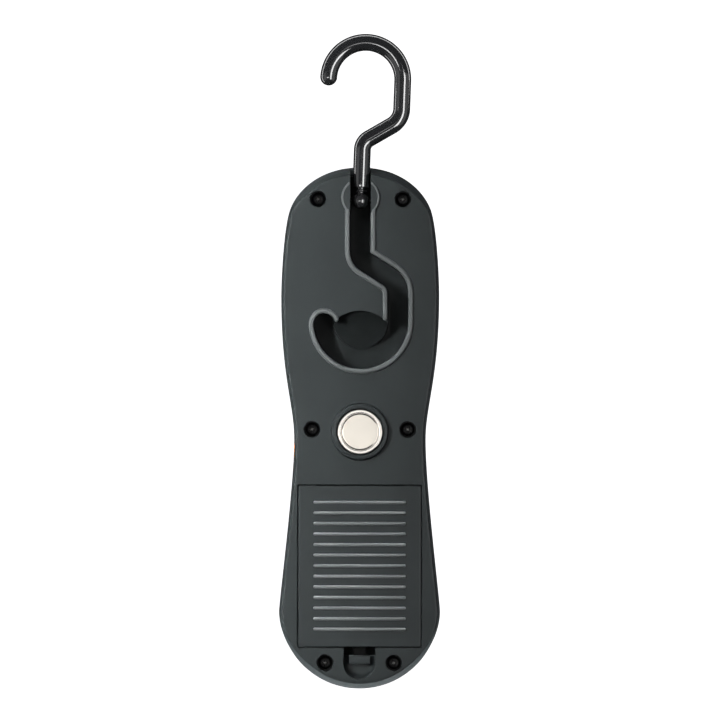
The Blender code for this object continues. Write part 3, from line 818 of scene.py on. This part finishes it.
def make_bead():
    """The raised line round the hook's recess. The finger pocket breaks its inner side."""
    right, end, left = recess_sides(BEAD_FOOT, SLOT_HALF + BEAD_HALF + 0.02)
    left = evenly(left, 0.5)
    right = evenly(right, 0.5)
    middle = Vector((0, POCKET_Z))
    entry = next(i for i, p in enumerate(left) if (p - middle).length < POCKET_RADIUS + 0.2)
    leave = max(i for i, p in enumerate(left) if (p - middle).length < POCKET_RADIUS + 0.6) + 1
    runs = (("recess_bead_outer", right + end + left[:entry]), ("recess_bead_inner", left[leave:]))
    for name, points in runs:
        # The bead is coloured lighter than the face, a painted highlight.
        bead = bar(name, eased(points, 3), BEAD_HALF, BEAD_HEIGHT, REAR_FACE, BEAD_PAINTED_HIGHLIGHT)
        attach(bead, "housing")


def make_ear_rims():
    """The soft raised edge round the two ears beside the hook's pivot."""
    for name, first, last in (("ear_rim_1", -43, 51), ("ear_rim_2", 129, 223)):
        points = arc((0.0, EAR_Z), EAR_RADIUS - 0.45, first, last, 24)
        # The rims are coloured lighter than the face, a painted highlight on the ears' edges.
        rim = bar(name, points, 0.45, 0.24, REAR_FACE + 0.6, BEAD_PAINTED_HIGHLIGHT)
        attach(rim, "housing")


# ---------------------------------------------------------------- front housing and front parts


def make_front_housing():
    low_y = FRONT_Y
    rings = [
        body_ring(6.8, low_y),
        body_ring(5.4, low_y + 0.15),
        body_ring(4.2, low_y + 0.6),
        body_ring(3.1, low_y + 1.5),
        body_ring(2.3, low_y + 2.9),
        body_ring(1.5, low_y + 5.4),
        body_ring(0.8, low_y + 9.0),
        body_ring(0.25, low_y + 13.0),
        body_ring(0.0, low_y + 17.0),
        body_ring(0.0, low_y + 20.0, 0.08),
        body_ring(0.0, PARTING - 0.12, 0.6),
        body_ring(0.12, PARTING, 0.62),
        body_ring(2.2, PARTING, 0.3),
        body_ring(2.4, low_y + 15.0),
        body_ring(3.7, low_y + 5.4),
        body_ring(5.8, low_y + 2.0),
    ]
    housing = loft("front_housing_fine", rings, SLATE, 40)
    window = capsule(LENS_HALF - 1.5, LENS_BOTTOM, LENS_TOP)
    seat = capsule(LENS_HALF + 0.3, LENS_BOTTOM, LENS_TOP)
    cutters = [
        prism("window", window, (low_y - 2, low_y + 3)),
        prism("seat", seat, (low_y - 2, low_y + 1.1)),
        prism("notch", rectangle(SLOT_HALF, 98.0, 112.0), (SLOT_FLOOR, -6.0)),
    ]
    hole_y = (button_low.y + button_high.y) / 2
    hole_z = (button_low.z + button_high.z) / 2
    hole = button_outline(0.25)
    hole_rings = [[(x, hole_y + a, hole_z + b) for a, b in hole] for x in (22.0, 30.0)]
    cutters.append(loft("button_hole", hole_rings))
    combine(housing, cutters, "DIFFERENCE")
    smooth(housing, 30)
    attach(housing, "housing")
    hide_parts("front_housing")


def button_outline(grow, half_y=3.0, half_z=5.7, radius=2.0):
    """The side button's outline as (y, z) offsets from its middle."""
    corner = (half_y + grow, half_z + grow)
    return rounded_box_outline((-corner[0], -corner[1]), corner, radius + grow)


def make_bezel_and_lens():
    bezel_half = bezel_high.x
    inner = LENS_HALF + 0.35
    back = bezel_high.y
    front = bezel_low.y
    rings = []
    for half, y in (
        (inner, back),
        (inner, front + 0.3),
        (inner + 0.12, front + 0.08),
        (inner + 0.4, front),
        (bezel_half - 0.9, front),
        (bezel_half - 0.35, front + 0.1),
        (bezel_half - 0.08, front + 0.35),
        (bezel_half, back),
    ):
        rings.append(at_depth(capsule(half, LENS_BOTTOM, LENS_TOP, 40), y))
    bezel = hoop("front_bezel_fine", rings, ORANGE, 40)
    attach(bezel, "housing")
    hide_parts("front_bezel")

    rings = []
    for half, y in (
        (LENS_HALF, lens_high.y),
        (LENS_HALF, lens_low.y + 0.3),
        (LENS_HALF - 0.1, lens_low.y + 0.1),
        (LENS_HALF - 0.35, lens_low.y),
    ):
        rings.append(at_depth(capsule(half, LENS_BOTTOM, LENS_TOP, 40), y))
    lens = loft("lens_fine", rings, CLEAR, 40)
    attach(lens, "housing")
    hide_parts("lens")


def make_led_chips():
    """Two columns of chips on the LED strip, each with a stepped top."""
    low, high = box_mm("cob_led")
    rows = 14
    pitch = (high.z - low.z) / rows
    for column in (-1, 1):
        for row in range(rows):
            x = column * 2.4
            z = low.z + pitch * (row + 0.5)
            outline = rounded_box_outline((x - 1.3, z - 1.6), (x + 1.3, z + 1.6), 0.4, 4)
            inset = rounded_box_outline((x - 1.1, z - 1.4), (x + 1.1, z + 1.4), 0.3, 4)
            rings = [
                at_depth(outline, low.y + 0.2),
                at_depth(outline, low.y - 0.35),
                at_depth(inset, low.y - 0.5),
            ]
            chip = loft(f"led_chip_{rows * (column > 0) + row + 1}", rings, PHOSPHOR)
            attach(chip, "housing")


# ---------------------------------------------------------------- button


def make_button():
    middle_y = (button_low.y + button_high.y) / 2
    middle_z = (button_low.z + button_high.z) / 2
    face = button_high.x - 0.5
    rings = []
    flange = ((22.6, 0.9), (23.3, 0.9))
    cap = ((23.3, 0.0), (face - 0.5, 0.0), (face - 0.15, -0.2), (face, -0.6))
    for x, grow in flange + cap:
        rings.append([(x, middle_y + a, middle_z + b) for a, b in button_outline(grow)])
    button = loft("power_button_fine", rings, ORANGE, 40)
    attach(button, "button")
    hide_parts("power_button")
    for row in range(3):
        z = middle_z + (row - 1) * 2.4
        bm = bmesh.new()
        bmesh.ops.create_uvsphere(bm, u_segments=20, v_segments=10, radius=0.5)
        bmesh.ops.scale(bm, vec=(0.36, 2.6, 1.0), verts=bm.verts)
        bmesh.ops.translate(bm, vec=(face - 0.2, middle_y, z), verts=bm.verts)
        ridge = put(f"button_ridge_{row + 1}", bm, ORANGE)
        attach(ridge, "button")


# ---------------------------------------------------------------- battery door and latch


def make_door():
    low = (-DOOR_HALF, DOOR_BOTTOM)
    high = (DOOR_HALF, DOOR_TOP)
    rings = []
    for y, inset, radius in (
        (REAR_FACE - 2.0, 0.0, 0.9),
        (REAR_FACE - 0.3, 0.0, 0.9),
        (REAR_FACE - 0.1, 0.07, 0.85),
        (REAR_FACE, 0.3, 0.7),
        (REAR_FACE, 0.6, 0.5),
    ):
        corner = (low[0] + inset, low[1] + inset)
        outline = rounded_box_outline(corner, (high[0] - inset, high[1] - inset), radius)
        rings.append(at_depth(outline, y))
    door = loft("battery_door_fine", rings, SLATE_DOOR, 40)
    tabs = []
    for side in (1, -1):
        x = side * HINGE_TAB_X
        tab = rectangle(2.9, -25.0, -22.8, x)
        lip = rectangle(2.8, -24.0, -19.9, x)
        # The tabs and lips take the darker slate, a painted shade in the gap at the door's top.
        tabs.append(prism(f"tab_{side}", tab, (-6.2, -4.2), SLATE_PAINTED_SHADE))
        tabs.append(prism(f"lip_{side}", lip, (-6.1, -5.1), SLATE_PAINTED_SHADE))
    combine(door, tabs, "UNION")
    smooth(door, 40)
    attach(door, "door")
    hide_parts("battery_door")


def make_door_ribs():
    for number in range(RIB_COUNT):
        z = RIB_FIRST - number * RIB_PITCH
        points = [Vector((-RIB_REACH + 2 * RIB_REACH * i / 12, z)) for i in range(13)]
        # The ribs are coloured much lighter than the door, a painted highlight.
        rib = bar(f"door_rib_{number + 1}", points, RIB_HALF, RIB_HEIGHT, REAR_FACE, RIB_PAINTED_HIGHLIGHT)
        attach(rib, "door")


def make_latch():
    """The latch's pad, the nose behind it and the tongue that joins it to the door."""
    low = (latch_low.x, PAD_BOTTOM)
    high = (latch_high.x, PAD_TOP)
    rings = []
    for y, inset, radius in ((-4.6, 0.0, 0.3), (-3.3, 0.0, 0.4), (-3.08, 0.1, 0.35), (-3.0, 0.35, 0.2)):
        corner = (low[0] + inset, low[1] + inset)
        outline = rounded_box_outline(corner, (high[0] - inset, high[1] - inset), radius, 4)
        rings.append(at_depth(outline, y))
    latch = loft("door_latch_fine", rings, SLATE_DOOR, 40)
    nose = rectangle(3.1, -93.9, -90.5)
    tongue = rectangle(2.4, -93.0, -86.1)
    parts = [
        prism("latch_nose", nose, (-5.7, -4.4)),
        # The tongue is coloured near-black, a painted shade in the latch gap.
        prism("latch_tongue", tongue, (-5.65, -5.05), BLACK_OXIDE_AND_PAINTED_SHADE),
    ]
    combine(latch, parts, "UNION")
    smooth(latch, 40)
    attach(latch, "latch")
    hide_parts("door_latch")


# ---------------------------------------------------------------- magnet


def make_magnet():
    outer = cup_high.x
    disc = disc_high.x
    floor = cup_low.y
    profile = (
        (0.0, floor + 1.3),
        (disc + 0.16, floor + 1.3),
        (disc + 0.16, -0.12),
        (disc + 0.2, -0.03),
        (disc + 0.3, 0.0),
        (disc + 0.45, 0.0),
        (outer - 0.35, 0.0),
        (outer - 0.25, 0.0),
        (outer - 0.08, -0.06),
        (outer, -0.25),
        (outer, floor),
        (0.0, floor),
    )
    cup = turned("magnet_cup_fine", profile, (0, 0), NICKEL, 96, 50)
    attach(cup, "housing")
    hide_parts("magnet_cup")
    profile = (
        (0.0, disc_high.y),
        (disc - 0.65, disc_high.y),
        (disc - 0.5, disc_high.y),
        (disc - 0.12, disc_high.y - 0.05),
        (disc, disc_high.y - 0.2),
        (disc, disc_low.y),
        (0.0, disc_low.y),
    )
    face = turned("magnet_disc_fine", profile, (0, 0), NICKEL_FACE, 96, 50)
    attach(face, "housing")
    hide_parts("magnet_disc")


# ---------------------------------------------------------------- battery cells


def upright(name, profile, x, y, foot, way, material, steps=48):
    """A profile of (radius, height) points turned about the upright line through (x, y), way up or down."""
    bm = bmesh.new()
    rings = []
    for radius, height in profile:
        count = steps if radius > 0.0 else 1
        angles = [2 * math.pi * i / steps for i in range(count)]
        places = [(x + radius * math.cos(a), y + radius * math.sin(a), foot + way * height) for a in angles]
        rings.append([bm.verts.new(place) for place in places])
    skin(bm, rings)
    return put(name, bm, material, 40)


def make_cells():
    """The three cells, the middle one the other way up."""
    for number in range(1, 4):
        low, high = box_mm(f"battery_cell_{number}")
        x = (low.x + high.x) / 2
        y = (low.y + high.y) / 2
        radius = (high.x - low.x) / 2
        length = high.z - low.z
        way = -1 if number == 2 else 1
        foot = high.z if number == 2 else low.z
        profile = (
            (0.0, 0.35),
            (radius - 1.5, 0.35),
            (radius - 1.2, 0.05),
            (radius - 0.6, 0.0),
            (radius - 0.15, 0.2),
            (radius, 0.6),
            (radius, length - 1.9),
            (radius - 0.15, length - 1.4),
            (radius - 0.6, length - 1.1),
            (radius - 1.4, length - 1.05),
            (radius - 1.6, length - 1.3),
            (0.0, length - 1.3),
        )
        jacket = upright(f"battery_cell_{number}_jacket", profile, x, y, foot, way, CELL)
        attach(jacket, "housing")
        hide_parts(f"battery_cell_{number}")
        profile = (
            (0.0, length - 1.4),
            (2.9, length - 1.4),
            (2.8, length - 0.4),
            (2.4, length),
            (0.0, length),
        )
        cap = upright(f"battery_cell_{number}_cap", profile, x, y, foot, way, SPRING, 32)
        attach(cap, "housing")
        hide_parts(f"battery_cell_{number}")


# ---------------------------------------------------------------- screws


def make_screws():
    for number, (low, high) in enumerate(screw_boxes, 1):
        centre = SCREW_CENTRES[number - 1]
        head = (high.x - low.x) / 2
        top = high.y
        under = top - HEAD_HEIGHT
        profile = [(0.0, top)]
        for i in range(1, 7):
            angle = math.pi / 2 * i / 6
            profile.append((head * (0.45 + 0.55 * math.sin(angle)), top - 1.1 * (1 - math.cos(angle))))
        profile += [(head, under), (SHAFT_RADIUS, under), (SHAFT_RADIUS, low.y + 1.5), (0.0, low.y)]
        screw = turned(f"screw_fine_{number}", profile, centre, BLACK_STEEL, 40, 40)
        turn = math.radians(17 + 31 * number)
        cutters = []
        for arm in range(2):
            bm = bmesh.new()
            bmesh.ops.create_cone(bm, cap_ends=True, segments=4, radius1=0.25, radius2=0.62, depth=1.5)
            bmesh.ops.rotate(bm, matrix=Matrix.Rotation(math.radians(45), 3, "Z"), verts=bm.verts)
            bmesh.ops.scale(bm, vec=(3.3, 0.8, 1.0), verts=bm.verts)
            bmesh.ops.rotate(bm, matrix=Matrix.Rotation(arm * math.pi / 2 + turn, 3, "Z"), verts=bm.verts)
            bmesh.ops.rotate(bm, matrix=Matrix.Rotation(math.radians(-90), 3, "X"), verts=bm.verts)
            bmesh.ops.translate(bm, vec=(centre[0], top - 0.55, centre[1]), verts=bm.verts)
            cutters.append(put(f"cross_{arm}", bm, WORN))
        combine(screw, cutters, "DIFFERENCE")
        smooth(screw, 35)
        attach(screw, "housing")
        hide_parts(f"housing_screw_{number}")


# ---------------------------------------------------------------- hook


LEAN = math.radians(HOOK_LEAN)
DEPTHWISE = Vector((0.0, 1.0, 0.0))


def leaning(point):
    """A (u, v) point of the hook's plane, in the shared frame, with the hook standing up."""
    x = -(point.x * math.cos(LEAN) + point.y * math.sin(LEAN))
    z = pivot.z + point.y * math.cos(LEAN) - point.x * math.sin(LEAN)
    return Vector((x, pivot.y, z))


def hook_ring(bm, centre, across, radius):
    """A circle across the hook, or a single point where the radius is nothing."""
    ring = []
    for k in range(HOOK_SIDES if radius > 0.0 else 1):
        angle = 2 * math.pi * k / HOOK_SIDES
        offset = across * math.cos(angle) + DEPTHWISE * math.sin(angle)
        ring.append(bm.verts.new(centre + radius * offset))
    return ring


def make_hook():
    """The bent rod, with a soft edge at its foot and a round tip."""
    edge = 0.5
    path = hook_path(HOOK_FOOT + edge, 40, 1.0)
    stations = []
    foot_steps = 5
    for i in range(foot_steps):
        angle = math.pi / 2 * (1 - i / foot_steps)
        point = Vector((0.0, HOOK_FOOT + edge - edge * math.sin(angle)))
        stations.append((point, HOOK_RADIUS - edge + edge * math.cos(angle)))
    stations += [(point, HOOK_RADIUS) for point in path]
    run = (path[-1] - path[-2]).normalized()
    tip_steps = 10
    for i in range(1, tip_steps + 1):
        angle = math.pi / 2 * i / (tip_steps + 0.3)
        stations.append((path[-1] + run * HOOK_RADIUS * math.sin(angle), HOOK_RADIUS * math.cos(angle)))
    bm = bmesh.new()
    rings = []
    for i, (point, radius) in enumerate(stations):
        before = stations[max(i - 1, 0)][0]
        after = stations[min(i + 1, len(stations) - 1)][0]
        along = (leaning(after) - leaning(before)).normalized()
        rings.append(hook_ring(bm, leaning(point), along.cross(DEPTHWISE).normalized(), radius))
    skin(bm, rings)
    bm.faces.new(rings[0])
    bm.faces.new(rings[-1])
    hook = put("hook_fine", bm, BLACK, 50)
    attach(hook, "hook_arm")
    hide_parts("hook")


def make_knuckle():
    """The ball at the hook's foot, with its collar."""
    profile = [(0.0, -BALL_RADIUS)]
    for i in range(1, 22):
        angle = math.radians(-90 + 152 * i / 21)
        profile.append((BALL_RADIUS * math.cos(angle), BALL_RADIUS * math.sin(angle)))
    profile += [(1.55, 3.2), (1.6, 3.45), (2.0, 3.6), (2.25, 3.8), (2.3, 4.1), (2.15, 4.4), (1.8, 4.6)]
    profile += [(1.75, 6.0), (0.0, 6.0)]
    bm = bmesh.new()
    across = Vector((math.cos(LEAN), 0.0, math.sin(LEAN)))
    skin(bm, [hook_ring(bm, leaning(Vector((0.0, v))), across, radius) for radius, v in profile])
    knuckle = put("hook_knuckle", bm, BALL, 50)
    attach(knuckle, "hook_arm")


make_rear_cover()
make_bead()
make_ear_rims()
make_parting_lip()
make_front_housing()
make_bezel_and_lens()
make_led_chips()
make_button()
make_door()
make_door_ribs()
make_latch()
make_magnet()
make_cells()
make_screws()
make_hook()
make_knuckle()

# ---------------------------------------------------------------- stage, lights and camera

FLOOR_Z = BOTTOM - 220.0


def stage_material(name, glow, colour=(0.9, 0.9, 0.9)):
    material, shader = new_material(name, colour, 0.8)
    shader.inputs["Emission Color"].default_value = (1.0, 1.0, 1.0, 1.0)
    shader.inputs["Emission Strength"].default_value = glow
    return material


plane = bmesh.new()
bmesh.ops.create_grid(plane, x_segments=8, y_segments=8, size=5000)
bmesh.ops.translate(plane, vec=(0, 0, FLOOR_Z), verts=plane.verts)
floor = put("floor", plane, stage_material("pale_floor", 1.0))
sphere = bmesh.new()
bmesh.ops.create_uvsphere(sphere, u_segments=48, v_segments=24, radius=5200)
dome = put("backdrop", sphere, stage_material("pale_backdrop", 1.2))
dome.visible_diffuse = False
dome.visible_glossy = False
dome.visible_transmission = False
dome.visible_shadow = False
floor.visible_diffuse = False
floor.visible_glossy = False

world = bpy.data.worlds.new("studio")
bpy.context.scene.world = world
world.use_nodes = True
world.node_tree.nodes["Background"].inputs["Color"].default_value = (0.9, 0.95, 1.0, 1.0)
world.node_tree.nodes["Background"].inputs["Strength"].default_value = 0.05

AIM = Vector((0.04, -11.0, 28.8))


def direction(right, up):
    """A direction from the object, in degrees from the camera's axis to the picture's right and upwards."""
    across = math.radians(right)
    rise = math.radians(up)
    return Vector((-math.sin(across) * math.cos(rise), math.cos(across) * math.cos(rise), math.sin(rise)))


def softbox(name, right, up, distance, width, height, power, aside=0.0, spread=180.0, seen="all"):
    """An area light on the object or a little aside of it. Seen is all, or only matt or glossy shading."""
    data = bpy.data.lights.new(name, "AREA")
    data.shape = "RECTANGLE"
    data.size = width * MM
    data.size_y = height * MM
    data.energy = power
    data.spread = math.radians(spread)
    light = bpy.data.objects.new(name, data)
    collection.objects.link(light)
    out = direction(right, up)
    light.location = (AIM + Vector((-aside, 0.0, 0.0)) + out * distance) * MM
    light.rotation_mode = "QUATERNION"
    light.rotation_quaternion = (-out).to_track_quat("-Z", "Y")
    light.visible_camera = False
    light.visible_glossy = seen != "matt"
    light.visible_diffuse = seen != "glossy"


softbox("top", -8, 66, 900, 1100, 380, 2.45, seen="matt")
softbox("left", -42, 12, 300, 40, 330, 0.175, aside=-25, spread=26, seen="matt")
softbox("strip_right", 29, -7, 1000, 330, 700, 2.3, seen="glossy")
softbox("strip_near", -14, -3.5, 1000, 390, 120, 0.45, seen="glossy")
softbox("high", -30, 42, 900, 400, 300, 2.35, seen="matt")
softbox("front", 0, -1.5, 1100, 180, 180, 0.095)
softbox("under", 0, -112, 330, 400, 120, 5.0, seen="matt")
softbox("right", 84, 0, 900, 200, 600, 0.8, seen="matt")
softbox("wall_left", -58, -12, 1400, 1100, 1300, 0.7, seen="glossy")
softbox("wall_right", 64, -12, 1400, 1100, 1300, 0.7, seen="glossy")

RING_GLOW = 1.4
RING_DISTANCE = 800.0
RING_EDGES = (94.0, 106.0)
RING_START = 8
RING_SWEEP = 217
RING_STEPS = 96


def make_rim_ring():
    """A glowing band behind the object, open below it, that only reflections see."""
    bm = bmesh.new()
    rings = []
    for polar in RING_EDGES:
        tilt = math.radians(polar)
        ring = []
        for i in range(RING_STEPS + 1):
            around = math.radians(RING_START + RING_SWEEP * i / RING_STEPS)
            across = -math.sin(tilt) * math.cos(around)
            rise = math.sin(tilt) * math.sin(around)
            ring.append(bm.verts.new(AIM + Vector((across, math.cos(tilt), rise)) * RING_DISTANCE))
        rings.append(ring)
    for i in range(RING_STEPS):
        bm.faces.new((rings[0][i], rings[0][i + 1], rings[1][i + 1], rings[1][i]))
    ring = put("rim_ring", bm, stage_material("ring_glow", RING_GLOW))
    ring.visible_camera = False
    ring.visible_diffuse = False
    ring.visible_shadow = False


make_rim_ring()

FRAME_HEIGHT = 289.7
CAMERA_DISTANCE = 4000.0
CAMERA_ROLL = 0.13
camera_data = bpy.data.cameras.new("camera")
camera_data.sensor_width = 36.0
camera = bpy.data.objects.new("camera", camera_data)
collection.objects.link(camera)
target = AIM * MM
camera.location = target + Vector((0.0, CAMERA_DISTANCE, 0.0)) * MM
camera.rotation_mode = "QUATERNION"
roll = Quaternion((0.0, 0.0, 1.0), math.radians(CAMERA_ROLL))
camera.rotation_quaternion = (target - camera.location).to_track_quat("-Z", "Y") @ roll
camera_data.lens = camera_data.sensor_width * (target - camera.location).length / (FRAME_HEIGHT * MM)
camera_data.clip_start = 0.01
camera_data.clip_end = 20.0
bpy.context.scene.camera = camera
bpy.context.scene.view_settings.view_transform = "Standard"

bpy.context.view_layer.update()
